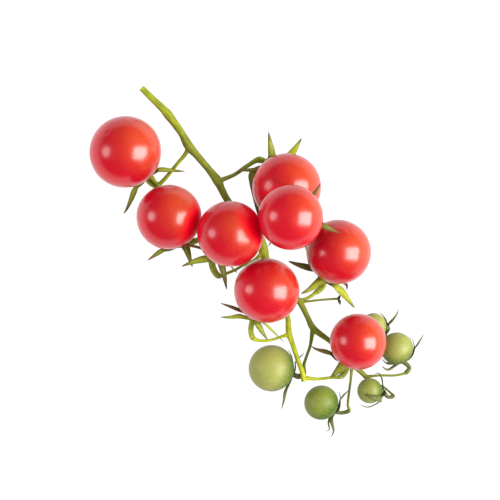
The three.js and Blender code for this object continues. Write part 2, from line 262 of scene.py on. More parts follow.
# The side towards the light, where every fruit is painted lit and orange-red, with painted shade, crimson,
# on its far side;
# and how much further on towards orange some ripe ones are.
PAINTED_LIGHT_SIDE = Vector((0.55, 0.2, 0.6)).normalized()
RIPER = {"ripe_2": 0.03, "ripe_3": 0.03, "ripe_5": -0.04, "ripe_7": -0.07}
# How pale each unripe fruit is, and how much further than usual its darker green reaches from the stem end.
PALENESS = {"green_1": 0.95, "green_2": 0.15, "green_3": 0.4, "green_4": 0.8, "green_5": 0.9}
GREEN_REACH = {"green_1": 0.1, "green_2": 0.42, "green_3": 0.05, "green_4": 0.3, "green_5": -0.5}
# A neighbour's shadow is painted into the skin. It ends at SHADE_EDGE of its radius from the line to the
# light, after softening over SHADE_BLUR of its radius. It fades with distance, and is gone at SHADE_FULL
# times SHADE_REACH.
BRIGHT_SIDE = Vector(SOFT_BOXES["main_soft_box"][0]).normalized()
SHADE_EDGE = 1.2
SHADE_BLUR = 0.4
SHADE_FULL = 1.4
SHADE_REACH = 8 * MM


def shade_of_neighbours(place, name):
    """How much another fruit stands before a place on its bright side: 0 not at all, 1 wholly."""
    shade = 0.0
    for other, (centre, radius, _, _) in TOMATOES.items():
        to_centre = in_frame(centre) - place
        ahead = to_centre.dot(BRIGHT_SIDE)
        if other != name and ahead > 0:
            miss = (to_centre - BRIGHT_SIDE * ahead).length / (radius * MM)
            nearness = SHADE_FULL - (to_centre.length - radius * MM) / SHADE_REACH
            cover = (SHADE_EDGE - miss) / SHADE_BLUR
            shade = max(shade, min(1.0, max(0.0, nearness)) * min(1.0, max(0.0, cover)))
    return shade


def store_sides(piece, name):
    """Writes to each point of a fruit its painted light and shade from the way it faces, with the fruit's
    ripeness, the painted shadow that its neighbours cast on it, how much it faces the stem end, and how pale
    the fruit is."""
    centre = in_frame(TOMATOES[name][0])
    axis = stem_axis(name)
    ways = [(vertex.co - centre).normalized() for vertex in piece.data.vertices]
    # Painted light and shade from the way each point faces, plus the fruit's ripeness; then the painted
    # shadow of neighbours.
    store(piece, "sunny", [0.5 + 0.5 * way.dot(PAINTED_LIGHT_SIDE) + RIPER.get(name, 0.0) for way in ways])
    store(piece, "shade", [shade_of_neighbours(vertex.co, name) for vertex in piece.data.vertices])
    store(piece, "stem_end", [way.dot(axis) + GREEN_REACH.get(name, 0.0) for way in ways])
    store(piece, "pale", [PALENESS.get(name, 0.0)] * len(ways))


# Ripe tomato skin, grown: a clear waxy film over red flesh. Light and shade are painted into its colour:
# painted shade makes it crimson below and on the side away from the light, painted light makes it orange-red
# on the side towards it, and a painted shadow deepens it and takes its gloss where a neighbour stands before
# the light; faint flecks of 0.5 mm lie in it.
ripe_skin, ripe_output = new_material("Ripe tomato skin, waxy")
# The painted light and shade of each point, with the fruit's ripeness and random blotches, picks the skin
# colour.
sunny = add_node(ripe_skin, "ShaderNodeAttribute", attribute_name="sunny")
where = add_node(ripe_skin, "ShaderNodeTexCoord")
blotches = add_node(ripe_skin, "ShaderNodeTexNoise", {
    "Vector": where.outputs["Object"], "Scale": 1 / (9 * MM), "Detail": 3.0, "Roughness": 0.5,
})
blotch_sway = add_node(ripe_skin, "ShaderNodeMath", {0: blotches.outputs[0], 1: 0.16, 2: -0.08},
                       operation="MULTIPLY_ADD")
blotched_ripeness_and_painted_light = add_node(ripe_skin, "ShaderNodeMath", {0: sunny.outputs["Fac"], 1: blotch_sway.outputs[0]},
                    operation="ADD")
# Painted light and shade: the low stops, deep crimson, stand for the shaded side, the high ones, orange-red,
# for the lit side.
skin_colour = add_node(ripe_skin, "ShaderNodeValToRGB", {"Fac": blotched_ripeness_and_painted_light.outputs[0]}, stops=[
    (0.3, "ac001c"), (0.45, "b00018"), (0.58, "a20014"), (0.72, "980818"), (0.86, "981c12"),
    (1.0, "a03418"),
])
# Painted shadow: where a neighbour stands before the main soft box, the skin is mixed towards a bright
# crimson.
shade = add_node(ripe_skin, "ShaderNodeAttribute", attribute_name="shade")
painted_shadow_mix = add_node(ripe_skin, "ShaderNodeMix", {
    0: shade.outputs["Fac"], 6: skin_colour.outputs[0], 7: linear("dc0022"),
}, data_type="RGBA")
flecks = add_node(ripe_skin, "ShaderNodeTexVoronoi", {
    "Vector": where.outputs["Object"], "Scale": 1 / (0.9 * MM),
})
fleck_spots = add_node(ripe_skin, "ShaderNodeMapRange", {
    "Value": flecks.outputs["Distance"], "From Min": 0.1, "From Max": 0.28, "To Min": 0.12, "To Max": 0.0,
})
flecked = add_node(ripe_skin, "ShaderNodeMix", {
    0: fleck_spots.outputs[0], 6: painted_shadow_mix.outputs[2], 7: linear("d8604a"),
}, data_type="RGBA")
skin_ripple = add_node(ripe_skin, "ShaderNodeTexNoise", {
    "Vector": where.outputs["Object"], "Scale": 1 / (3 * MM), "Detail": 2.0,
})
skin_bump = add_node(ripe_skin, "ShaderNodeBump", {
    "Height": skin_ripple.outputs[0], "Strength": 0.1, "Distance": 0.1 * MM,
})
skin_gloss = add_node(ripe_skin, "ShaderNodeMapRange", {
    "Value": blotches.outputs[0], "To Min": 0.24, "To Max": 0.33,
})
# The painted shadow also takes away most of the skin's specular shine and its coat.
skin_shine = add_node(ripe_skin, "ShaderNodeMapRange", {
    "Value": shade.outputs["Fac"], "To Min": 0.5, "To Max": 0.05,
})
skin_coat = add_node(ripe_skin, "ShaderNodeMapRange", {
    "Value": shade.outputs["Fac"], "To Min": 0.38, "To Max": 0.0,
})
ripe_shader = add_node(ripe_skin, "ShaderNodeBsdfPrincipled", {
    "Base Color": flecked.outputs[2], "Roughness": skin_gloss.outputs[0], "IOR": 1.4,
    "Specular IOR Level": skin_shine.outputs[0], "Normal": skin_bump.outputs[0],
    "Subsurface Weight": 0.5, "Subsurface Radius": (1.0, 0.12, 0.08), "Subsurface Scale": 5 * MM,
    "Coat Weight": skin_coat.outputs[0], "Coat Roughness": 0.18, "Coat IOR": 1.45,
})
ripe_skin.node_tree.links.new(ripe_shader.outputs[0], ripe_output.inputs["Surface"])

# Unripe tomato skin, grown: pale green with a fine down that dulls it to a satin. To the eye it is mottled
# and finely specked, and a darker green with less shine near the stem end.
unripe_skin, unripe_output = new_material("Unripe tomato skin, satin and downy")
pale = add_node(unripe_skin, "ShaderNodeAttribute", attribute_name="pale")
stem_end = add_node(unripe_skin, "ShaderNodeAttribute", attribute_name="stem_end")
where = add_node(unripe_skin, "ShaderNodeTexCoord")
mottle = add_node(unripe_skin, "ShaderNodeTexNoise", {
    "Vector": where.outputs["Object"], "Scale": 1 / (2.5 * MM), "Detail": 4.0,
})
mottle_sway = add_node(unripe_skin, "ShaderNodeMath", {0: mottle.outputs[0], 1: 0.5, 2: -0.25},
                       operation="MULTIPLY_ADD")
paleness = add_node(unripe_skin, "ShaderNodeMath", {0: pale.outputs["Fac"], 1: mottle_sway.outputs[0]},
                    operation="ADD")
pale_colour = add_node(unripe_skin, "ShaderNodeValToRGB", {"Fac": paleness.outputs[0]}, stops=[
    (0.0, "5c6718"), (1.0, "7c7c3a"),
])
stem_sway = add_node(unripe_skin, "ShaderNodeMath", {0: stem_end.outputs["Fac"], 1: mottle_sway.outputs[0]},
                     operation="ADD")
stem_green = add_node(unripe_skin, "ShaderNodeMapRange", {
    "Value": stem_sway.outputs[0], "From Min": -0.1, "From Max": 0.62, "To Min": 0.0, "To Max": 0.97,
})
unripe_colour = add_node(unripe_skin, "ShaderNodeMix", {
    0: stem_green.outputs[0], 6: pale_colour.outputs[0], 7: linear("324a04"),
}, data_type="RGBA")
down_grain = add_node(unripe_skin, "ShaderNodeTexNoise", {
    "Vector": where.outputs["Object"], "Scale": 1 / (0.6 * MM), "Detail": 3.0,
})
pale_specks = add_node(unripe_skin, "ShaderNodeMapRange", {
    "Value": down_grain.outputs[0], "From Min": 0.5, "From Max": 0.75, "To Min": 0.0, "To Max": 0.25,
})
specked_colour = add_node(unripe_skin, "ShaderNodeMix", {
    0: pale_specks.outputs[0], 6: unripe_colour.outputs[2], 7: linear("9ca070"),
}, data_type="RGBA")
unripe_shine = add_node(unripe_skin, "ShaderNodeMapRange", {
    "Value": stem_green.outputs[0], "To Min": 0.5, "To Max": 0.15,
})
down_bump = add_node(unripe_skin, "ShaderNodeBump", {
    "Height": down_grain.outputs[0], "Strength": 0.25, "Distance": 0.1 * MM,
})
unripe_shader = add_node(unripe_skin, "ShaderNodeBsdfPrincipled", {
    "Base Color": specked_colour.outputs[2], "Roughness": 0.46, "IOR": 1.36,
    "Specular IOR Level": unripe_shine.outputs[0],
    "Sheen Weight": 0.03, "Sheen Roughness": 0.5, "Normal": down_bump.outputs[0],
})
unripe_skin.node_tree.links.new(unripe_shader.outputs[0], unripe_output.inputs["Surface"])

for name in TOMATOES:
    ripe = name.startswith("ripe")
    tomato = grow_fruit(name, f"skin_of_{name}")
    tomato.data.materials.append(ripe_skin if ripe else unripe_skin)
    store_sides(tomato, name)
    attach(tomato, "root")
    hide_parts(f"tomato_{name}")
bpy.data.objects.remove(pattern_fruit)


# The stalk: one grown piece from its cut end to the tips of its two branches, with the lower half of
# every fruit's stem. It is thicker where a stem leaves it, and each stem ends in a swollen knuckle.
# The rows are x, y, z and radius in the truss's own millimetres.
RACHIS = [
    (-45, 68.5, 9, 1.25), (-40.6, 64.1, 9, 1.35), (-37, 60.7, 9, 1.55), (-34.4, 57.8, 8.5, 1.9),
    (-32, 54.6, 8.5, 1.6), (-29.2, 50.6, 8.5, 1.5), (-26.6, 45.9, 8, 1.9), (-22.9, 41.6, 8, 1.5),
    (-19, 37, 7.5, 1.4), (-15, 31.8, 7.5, 1.9), (-13.7, 29, 7.5, 1.5), (-11.3, 24.5, 7, 1.4),
    (-6.5, 18.5, 7, 1.45), (-1.5, 14, 6.5, 1.5), (2, 9, 6.5, 1.6), (3, 4.5, 6, 2),
    (4, 1, 6, 1.6), (6.5, -5, 5.5, 1.7),
]
NEAR_BRANCH = [
    (6.5, -5, 5.5, 1.4), (9, -12.5, 6, 1.1), (11, -18, 7, 1.1), (12.5, -22, 8.5, 1.05),
    (13, -28, 9.5, 1.25), (14.5, -32.5, 9.5, 1), (16.5, -38.5, 9, 0.95), (18, -42.5, 9, 1),
    (19, -47, 9, 1.1),
]
FAR_BRANCH = [
    (6.5, -5, 5.5, 1.4), (11.5, -10.5, 5.5, 1.15), (17, -15.5, 6, 1.25), (20.5, -22, 6, 1.1),
    (22.5, -26, 6, 1.35), (29.5, -31.5, 5.5, 1), (35, -37, 5, 1.15), (38, -40.5, 5, 1.15),
    (41, -43, 4.5, 1.05), (44, -46, 3.5, 1), (45, -47.5, 3, 0.9),
]
SPENT_FLOWER = [
    (17.5, -16, 6, 0.5), (25.5, -15, 6.5, 0.45), (32.5, -14.5, 6.5, 0.5),
]
# What is left of that flower: two dried bits that fork at the end of its stalk.
DRIED_BITS = [
    [(32.3, -14.5, 6.5, 0.45), (32.9, -14, 6.6, 0.6), (33, -13, 6.7, 0.3)],
    [(32.4, -14.5, 6.5, 0.45), (33, -15.6, 6.5, 0.65), (33.2, -17, 6.4, 0.25)],
]
# Each fruit's stem from the stalk to its calyx, the row where its knuckle is, and its age below and above
# the knuckle.
STEMS = {
    # ripe_1's upper stem lies in the fruit's shade; its upper age of 0, the youngest and lightest, is partly
    # painted light.
    "ripe_1": ([
        (-26.5, 45, 8, 1), (-28, 42.3, 7.5, 0.85), (-30, 40, 7, 0.75), (-33, 36.5, 5.5, 0.75),
        (-37, 32, 3.5, 0.85), (-39, 30.5, 3, 1.5), (-41.5, 31.5, 2, 1.5), (-43.5, 34, 2, 1.5),
    ], 5, 0.15, 0.0),
    "ripe_2": ([
        (-6.5, 18.5, 7, 1), (-12, 14, 6, 0.65), (-18, 10.5, 5.5, 0.65), (-23.5, 8.5, 5, 1.3),
        (-27, 7.5, 5, 1.2),
    ], 3, 0.2, 0.2),
    "ripe_3": ([
        (3, 4.5, 6, 1.2), (1.5, 2.5, 6.5, 0.9), (-1, 0.5, 7, 0.65), (-4.5, -1, 7, 0.6),
        (-8, -3, 7.5, 0.6), (-11.5, -4.5, 8, 0.65), (-14.5, -5.5, 8.5, 1.25), (-16.6, -3, 10.5, 1.35),
        (-17.2, 0.7, 12.5, 1.4),
    ], 6, 0.1, 0.25),
    "ripe_4": ([
        (-14.5, 32, 7.5, 1), (-8.5, 34.5, 6, 0.8), (-3.5, 38, 4.5, 0.9), (1, 40.5, 3, 1.4),
        (3.5, 40, 2, 1.2), (5.5, 39, 2, 1.2),
    ], 3, 0.3, 0.2),
    "ripe_5": ([
        (0, 13, 6.5, 1), (3, 12.5, 8, 0.7), (6.5, 12, 10.5, 0.65), (11, 13, 14.5, 0.65),
        (13.5, 14, 18.5, 1.2), (14.5, 16, 22, 1.1),
    ], 4, 0.4, 0.5),
    "ripe_6": ([
        (17, -15.5, 6, 1), (20, -14.5, 5, 0.7), (22, -13.5, 4, 0.7), (24, -12, 3, 1.15),
        (26.5, -10, 2, 1.1), (27.5, -7, 2, 1.2),
    ], 3, 0.1, 0.1),
    "ripe_7": ([
        (13, -28.5, 9.5, 0.9), (9.5, -29.5, 9.5, 0.6), (6.5, -30.5, 9.5, 0.55), (3, -31, 9.5, 0.6),
        (-1, -30, 9.5, 1.15), (-2, -27, 10, 1.1), (-1.5, -23.5, 10.5, 1.2),
    ], 4, 0.0, 0.15),
    "ripe_8": ([
        (18.7, -45.5, 9, 0.9), (24.5, -46, 9.5, 0.6), (29, -45.5, 9.5, 0.6), (33.5, -45, 9, 1.15),
        (35.5, -42.5, 9.5, 1.1),
    ], 3, 0.32, 0.4),
    "green_1": ([
        (22.5, -26, 6, 1), (21.5, -33, 5.5, 0.65), (20, -37.5, 5, 0.6), (19, -41, 4.5, 0.7),
        (19, -44, 4, 1.1), (17, -45.5, 3, 1.1),
    ], 4, 0.65, 0.8),
    "green_2": ([
        (38, -41, 5, 0.8), (37.5, -47, 4.5, 0.5), (37, -51, 4, 0.5), (36.5, -57, 3, 0.55),
        (37, -59, 2.5, 0.9), (34, -60, 2, 0.75),
    ], 4, 0.45, 0.5),
    "green_3": ([
        (45, -47.5, 3, 0.6), (47.5, -48.5, 3, 0.45), (50.5, -49.5, 3.5, 0.45), (53.5, -52, 4, 0.5),
        (54.5, -53, 4.5, 0.8), (52.5, -53.5, 5, 0.75),
    ], 4, 0.6, 0.55),
    "green_4": ([
        (43.5, -45.5, 4, 0.7), (49, -45, 4, 0.5), (55, -45, 4, 0.5), (58, -44.5, 3.5, 0.55),
        (59.5, -44, 3, 0.95), (61, -42, 2, 0.85),
    ], 4, 0.4, 0.45),
    "green_5": ([
        (36, -37.5, 5, 0.8), (42, -35, 3.5, 0.5), (46.5, -33.5, 3, 0.5), (50, -31.5, 3, 0.85),
        (51.5, -28.5, 2.5, 0.75),
    ], 3, 0.4, 0.45),
}
KNUCKLE_CLEFT = 0.05
CALYX_GAP = 0.35
STEM_STEPS = 10
STALK_VOXEL = 0.2


def curve_through(places, steps):
    """Points on a smooth centripetal curve through places, with so many steps from each to the next."""
    places = [Vector(place) for place in places]
    ends = [2 * places[0] - places[1], *places, 2 * places[-1] - places[-2]]
    points = []
    for before, start, end, after in zip(ends, ends[1:], ends[2:], ends[3:]):
        d0, d1, d2 = (math.sqrt((b - a).length) for a, b in ((before, start), (start, end), (end, after)))
        leave = ((start - before) / d0 - (end - before) / (d0 + d1) + (end - start) / d1) * d1
        reach = ((end - start) / d1 - (after - start) / (d1 + d2) + (after - end) / d2) * d1
        for step in range(steps):
            t = step / steps
            points.append(
                (2 * t ** 3 - 3 * t ** 2 + 1) * start + (t ** 3 - 2 * t ** 2 + t) * leave
                + (3 * t ** 2 - 2 * t ** 3) * end + (t ** 3 - t ** 2) * reach
            )
    return points + [places[-1]]


def stem_samples(rows, first=0, last=None, trim_first=0.0, trim_last=0.0):
    """Points and radii, in the truss's millimetres, along a stem from one of its rows to another."""
    last = len(rows) - 1 if last is None else last
    points = curve_through([row[:3] for row in rows], STEM_STEPS)
    samples = []
    for number in range(first * STEM_STEPS, last * STEM_STEPS + 1):
        row = min(number // STEM_STEPS, len(rows) - 2)
        part = number / STEM_STEPS - row
        soft = part ** 3 if rows[row + 1][3] > 1.5 * rows[row][3] else part * part * (3 - 2 * part)
        samples.append([points[number], rows[row][3] * (1 - soft) + rows[row + 1][3] * soft])
    samples[0][0] = samples[0][0] + (samples[1][0] - samples[0][0]).normalized() * trim_first
    samples[-1][0] = samples[-1][0] - (samples[-1][0] - samples[-2][0]).normalized() * trim_last
    return samples


def tube(samples, name):
    """A round closed stem through samples, drawn as a bevelled curve and made a mesh."""
    bpy.ops.object.select_all(action="DESELECT")
    bpy.ops.curve.primitive_bezier_curve_add()
    piece = bpy.context.object
    piece.name = name
    piece.data.splines.clear()
    spline = piece.data.splines.new("POLY")
    spline.points.add(len(samples) - 1)
    for point, (place, radius) in zip(spline.points, samples):
        point.co = (*in_frame(place), 1)
        point.radius = radius
    piece.data.bevel_depth = MM
    piece.data.bevel_resolution = 4
    piece.data.use_fill_caps = True
    bpy.ops.object.convert(target="MESH")
    bpy.ops.object.mode_set(mode="EDIT")
    bpy.ops.mesh.select_all(action="SELECT")
    bpy.ops.mesh.remove_doubles(threshold=0.01 * MM)
    bpy.ops.mesh.normals_make_consistent(inside=False)
    bpy.ops.object.mode_set(mode="OBJECT")
    return piece


def grow_together(pieces, name, voxel, passes):
    """Joins pieces into one skin, with soft hollows where they meet."""
    select_only(*pieces)
    bpy.ops.object.join()
    whole = bpy.context.object
    whole.name = name
    whole.data.name = name
    apply_modifier(whole, "REMESH", mode="VOXEL", voxel_size=voxel * MM)
    apply_modifier(whole, "SMOOTH", factor=0.5, iterations=passes)
    select_only(whole)
    bpy.ops.object.shade_smooth()
    return whole


def nearest_marks(piece, marks):
    """For each vertex of a piece, the mark nearest to it. A mark is a place, and then its numbers."""
    tree = kdtree.KDTree(len(marks))
    for number, mark in enumerate(marks):
        tree.insert(mark[0], number)
    tree.balance()
    return [marks[tree.find(vertex.co)[1]] for vertex in piece.data.vertices]


def mark_grain(piece, marks):
    """Writes the way of the grain and the age to each vertex. The numbers of these marks are the way
    along the stem, the way across it, the distance along it, and the age."""
    grain, age = [], []
    for vertex, mark in zip(piece.data.vertices, nearest_marks(piece, marks)):
        place, along, across, distance, years = mark
        out = vertex.co - place
        up = along.cross(across)
        angle = math.atan2(out.dot(up), out.dot(across))
        grain.extend((math.cos(angle) * MM, math.sin(angle) * MM, distance + out.dot(along)))
        age.append(years)
    attribute = piece.data.attributes.new("grain", "FLOAT_VECTOR", "POINT")
    attribute.data.foreach_set("vector", grain)
    store(piece, "age", age)


def marks_along(samples, age_first, age_last, start=0.0):
    """The marks of a stem whose age goes from one value to another."""
    marks = []
    across = Vector((0.31, 0.2, 0.93))
    distance = start * MM
    places = [in_frame(place) for place, _ in samples]
    for number, place in enumerate(places):
        along = (places[min(number + 1, len(places) - 1)] - places[max(number - 1, 0)]).normalized()
        across = (across - along * across.dot(along)).normalized()
        if number:
            distance += (place - places[number - 1]).length
        years = age_first + (age_last - age_first) * number / (len(places) - 1)
        marks.append((place, along, across.copy(), distance, years))
    return marks


# The lower stretch of the rachis, from row 12, lies in the shade of the fruits above; its young, light age
# is partly its own yellow-green, partly painted light.
stretches = [
    (stem_samples(RACHIS, last=12), 0.24, 0.5),
    (stem_samples(RACHIS, first=12), 0.2, 0.1),
    (stem_samples(NEAR_BRANCH), 0.18, 0.04),
    (stem_samples(FAR_BRANCH), 0.35, 0.4),
    (stem_samples(SPENT_FLOWER), 0.3, 0.5),
    *((stem_samples(rows), 0.9, 1.0) for rows in DRIED_BITS),
]
stalk_marks = []
for number, (samples, age_first, age_last) in enumerate(stretches):
    stalk_marks += marks_along(samples, age_first, age_last, start=40.0 * number)
stalk_parts = [tube(samples, "stretch") for samples, _, _ in stretches]
main_marks = list(stalk_marks)
for number, (rows, knuckle, lower_age, _) in enumerate(STEMS.values()):
    samples = stem_samples(rows, last=knuckle, trim_last=KNUCKLE_CLEFT)
    stalk_parts.append(tube(samples, "stem"))
    age_there = min(main_marks, key=lambda mark: (mark[0] - in_frame(rows[0])).length)[4]
    stalk_marks += marks_along(samples, age_there, lower_age, start=300.0 + 40.0 * number)
stalk = grow_together(stalk_parts, "grown_stalk", STALK_VOXEL, 4)
mark_grain(stalk, stalk_marks)

# Tomato stalk, grown: soft green tissue with fine lengthwise ridges about 0.5 mm apart and a short down.
# To the eye it is nearly matt, yellow-green where young, olive to brown where old, and darker on its ridges.
stalk_skin, stalk_output = new_material("Tomato stalk, ridged and downy")
age = add_node(stalk_skin, "ShaderNodeAttribute", attribute_name="age")
grain = add_node(stalk_skin, "ShaderNodeAttribute", attribute_name="grain")
stretched = add_node(stalk_skin, "ShaderNodeMapping", {
    "Vector": grain.outputs["Vector"], "Scale": (1.0, 1.0, 0.12),
})
streaks = add_node(stalk_skin, "ShaderNodeTexNoise", {
    "Vector": stretched.outputs[0], "Scale": 1 / (0.5 * MM), "Detail": 3.0,
})
patches = add_node(stalk_skin, "ShaderNodeTexNoise", {
    "Vector": grain.outputs["Vector"], "Scale": 1 / (3 * MM), "Detail": 3.0,
})
streak_sway = add_node(stalk_skin, "ShaderNodeMath", {0: streaks.outputs[0], 1: 0.55, 2: -0.275},
                       operation="MULTIPLY_ADD")
patch_sway = add_node(stalk_skin, "ShaderNodeMath", {0: patches.outputs[0], 1: 0.4, 2: -0.2},
                      operation="MULTIPLY_ADD")
aged = add_node(stalk_skin, "ShaderNodeMath", {0: age.outputs["Fac"], 1: streak_sway.outputs[0]},
                operation="ADD")
aged_more = add_node(stalk_skin, "ShaderNodeMath", {0: aged.outputs[0], 1: patch_sway.outputs[0]},
                     operation="ADD")
stalk_colour = add_node(stalk_skin, "ShaderNodeValToRGB", {"Fac": aged_more.outputs[0]}, stops=[
    (0.0, "9a9e08"), (0.15, "80860a"), (0.3, "6a700e"), (0.55, "54560c"), (0.8, "4a440c"),
    (1.0, "34240c"),
])
hair_grain = add_node(stalk_skin, "ShaderNodeTexNoise", {
    "Vector": grain.outputs["Vector"], "Scale": 1 / (0.25 * MM), "Detail": 2.0,
})
ridge_height = add_node(stalk_skin, "ShaderNodeMath", {0: streaks.outputs[0], 1: hair_grain.outputs[0]},
                        operation="ADD")
stalk_bump = add_node(stalk_skin, "ShaderNodeBump", {
    "Height": ridge_height.outputs[0], "Strength": 0.5, "Distance": 0.15 * MM,
})
stalk_shader = add_node(stalk_skin, "ShaderNodeBsdfPrincipled", {
    "Base Color": stalk_colour.outputs[0], "Roughness": 0.5, "IOR": 1.4,
    "Specular IOR Level": 0.32, "Sheen Weight": 0.03, "Sheen Roughness": 0.5,
    "Normal": stalk_bump.outputs[0],
})
stalk_skin.node_tree.links.new(stalk_shader.outputs[0], stalk_output.inputs["Surface"])
stalk.data.materials.append(stalk_skin)
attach(stalk, "root")
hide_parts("stalk")


# The calyces: each is the thick upper half of a fruit's stem, its hub, and two to five narrow sepals that
# grew from it, follow the fruit's skin and then stand off it. They dry from the tip, so old ones are brown.
# Each sepal: half its greatest width, its age, and its points from the fruit's centre.
SEPALS = {
    "ripe_1": [
        (1.1, 0.25, [(12, -6.5, -4.5), (17, -7, -4), (23, -7.5, -5)]),
        (1.3, 0.25, [(4, -12, -5.5), (2, -18, -5.5), (0, -22.5, -6), (-1, -24, -5)]),
        (0.9, 0.1, [(9, -9, -9.5), (11.5, -12, -9), (12.5, -14, -8.5)]),
        (0.9, 0.4, [(9, -2.5, -9), (11, 0.5, -7)]),
        (0.9, 0.4, [(1.5, -10, -9.5), (-2, -11.5, -7)]),
    ],
    "ripe_2": [
        (1.4, 0.4, [(-2, -12, -4), (-5, -14.5, -3.5), (-8.5, -17, -4)]),
        (1.4, 0.45, [(6.5, -12, -5), (8, -16.5, -4.5), (9, -19.5, -5)]),
        (0.9, 0.4, [(8, -3, -8), (11, 0.5, -5)]),
        (0.9, 0.4, [(-1, -9, -8.5), (-5.5, -9, -6.5)]),
    ],
    "ripe_3": [
        (0.7, 1.0, [(-10.5, -5.5, -5.5), (-16, -4.5, -5), (-21, -5.5, -4.5)]),
        (1.5, 0.2, [(-8.5, -9, -5), (-14, -10.5, -6.5), (-19, -12.5, -8)]),
        (1.3, 0.6, [(-3.5, -11, -6.5), (-2.5, -16, -6.5), (-1.5, -21.5, -8.5)]),
        (0.6, 0.3, [(0, -12, -6), (1.5, -14, -6.5), (3.5, -15.5, -7.5)]),
        (0.9, 0.4, [(-9, -2.5, -9), (-10.5, 1.5, -6.5)]),
    ],
    "ripe_4": [
        (1.6, 0.3, [(-5.4, 12, -4.5), (-6.2, 17, -4), (-7, 21.9, -4.5)]),
        (1.7, 0.0, [(1, 12.2, -6.5), (3.9, 16.4, -3.8), (5.9, 19.5, -4)]),
        (1.0, 0.5, [(-11.4, 7, -4.5), (-17, 7, -5), (-20, 5.9, -5.5)]),
        (1.5, 0.45, [
            (-13, 5.5, -7), (-13, 3, -7), (-12.4, -2, -7.5), (-11.6, -7, -7.5), (-10.8, -12, -7.5),
        ]),
    ],
    "ripe_5": [
        (1.6, 0.5, [(12, -3, -5), (19, -6, -6)]),
        (1.4, 0.4, [(9, 9, -4), (11.5, 13, -5)]),
        (0.6, 0.65, [(6, -11.5, -5), (7.5, -15.5, -7)]),
        (0.8, 0.4, [(-9.5, 8, -4), (-11, 8.5, -4.5)]),
        (0.8, 0.4, [(-7.5, -9.5, -5), (-8.5, -11, -6)]),
    ],
    "ripe_6": [
        (1.6, 0.55, [(-7.5, -6, -9), (-11, -6, -5.5), (-15.2, -5.2, -4), (-19.5, -3.7, -4.5)]),
        (1.6, 0.15, [(-6.5, -11, -4.5), (-11.5, -15, -4.5), (-14.5, -16.5, -4)]),
        (1.7, 0.0, [(-0.5, -13, -3.5), (3, -17.5, -3), (6.5, -22, -3.5)]),
        (1.2, 0.9, [(3.5, -13, -4.5), (3.5, -15, -5)]),
    ],
    "ripe_7": [
        (0.9, 0.9, [(-7.5, -8.5, -7.5), (-11.3, -7.3, -5), (-15, -6, -4), (-18, -5, -4.5)]),
        (1.0, 0.15, [(-6.5, -10.5, -5), (-10.5, -10, -4.5), (-14, -10.5, -5), (-18, -10.5, -5.5)]),
        (1.2, 0.3, [(-3.5, -12.5, -5), (-2, -15.5, -5), (0.5, -19.5, -6)]),
        (0.55, 0.1, [(-1.5, -12, -4.5), (2.5, -16, -5), (7, -20.5, -6.5)]),
        (0.9, 0.4, [(-9, -4, -6.5), (-11, 0, -3.5)]),
    ],
    "ripe_8": [
        (1.2, 0.65, [(-10, -4.5, -3.5), (-12.5, -4, -3.5), (-16.5, -3, -4.5), (-18, -2, -5)]),
        (1.7, 0.35, [(-6, -10, -5.5), (-8, -12, -6.5), (-10.5, -14.5, -8)]),
        (0.8, 0.4, [(2, -10, -5.5), (3.5, -10.5, -4.5)]),
        (0.8, 0.4, [(6, -6.5, -7.5), (7.5, -4.5, -5.5)]),
        (0.8, 0.4, [(-6.5, -3.5, -7.5), (-9, 0, -5)]),
    ],
    "green_1": [
        (0.75, 0.45, [(7, -5.5, -4), (5.5, -9, -2.5), (5, -12.5, -2.5), (4, -16.5, -3)]),
        (0.5, 0.6, [(8.5, -1, -3), (9.5, 2.5, -2), (11.5, 4.5, -2), (13, 6, -2)]),
        (0.6, 0.6, [(7, 2, -4), (6, 6.5, -1)]),
        (0.6, 0.4, [(4.5, -6.5, -5), (0.5, -7, -3)]),
    ],
    "green_2": [
        (0.7, 0.5, [(4.5, -4.5, -3), (4, -7, -2.5), (5, -11.5, -2.5), (4, -14, -3)]),
        (0.45, 0.6, [(3.5, -6, -3.5), (3, -9, -4), (3.5, -11, -4.5), (1.5, -12, -4.5)]),
        (0.6, 0.6, [(6, -1, -2), (8.5, 2.5, -1), (11, 5, -0.5)]),
        (0.9, 0.7, [(6.8, -1, -0.4), (7.4, 1.8, 0.6), (6.9, 4.4, 1)]),
    ],
    "green_3": [
        (1.4, 0.5, [(5, -2, -1), (4, -2.5, 1.5), (1.5, -2, 4.5), (-2, -1, 5)]),
        (0.5, 0.5, [(5, 2.5, -0.5), (4.5, 5.5, 0), (3.5, 7, 0), (2, 6.5, 0)]),
        (0.45, 0.5, [(4, -4, -1.5), (2, -5.5, -1), (-1, -6.5, -1), (-4, -5.5, -1.5)]),
    ],
    "green_4": [
        (0.6, 0.45, [(3.5, -3.5, -2.5), (5, -2, -1.5), (8.5, 2, -0.5), (10, 4.5, -0.5), (10.5, 6, 0)]),
        (0.7, 0.5, [(1, -5.5, -4), (-1, -7, -2), (-3.5, -8.5, -1), (-6, -7, 0)]),
        (0.5, 0.4, [(5, -1.5, -2), (6, 2, 0), (4.5, 4.5, 2)]),
        (0.8, 0.6, [(-3, -6, -3), (-4.5, -5.5, -1.5), (-6, -4, 0)]),
    ],
    "green_5": [
        (0.5, 0.5, [(6, 1, -1), (7.5, 2.5, 0), (9, 4.5, 0.5), (10, 7, 1)]),
        (0.45, 0.5, [(3.5, 3, -1.5), (1.5, 4, 0.5)]),
    ],
}
SEPAL_THICKNESS = 0.42
SEPAL_FOLD = 0.35
SEPAL_STEPS = 40
CALYX_VOXEL = 0.13
HUB_RADIUS = {"ripe": 1.8, "green": 1.3}
GREY_DOWN = {"ripe": 0.1, "green": 0.6}
# The upper stem is toned as a sepal is at this part of the way from its midrib to its edge.
STEM_RIM = 0.4
# A sepal that stands LIFT_OFF from the skin begins to lie level, and LEVEL_OFF further away it does.
LIFT_OFF = 0.7
LEVEL_OFF = 1.5
SEPAL_TWIST = 0.9
MIDRIB_HEIGHT = 0.16
SKIN_CLEARANCE = 0.12


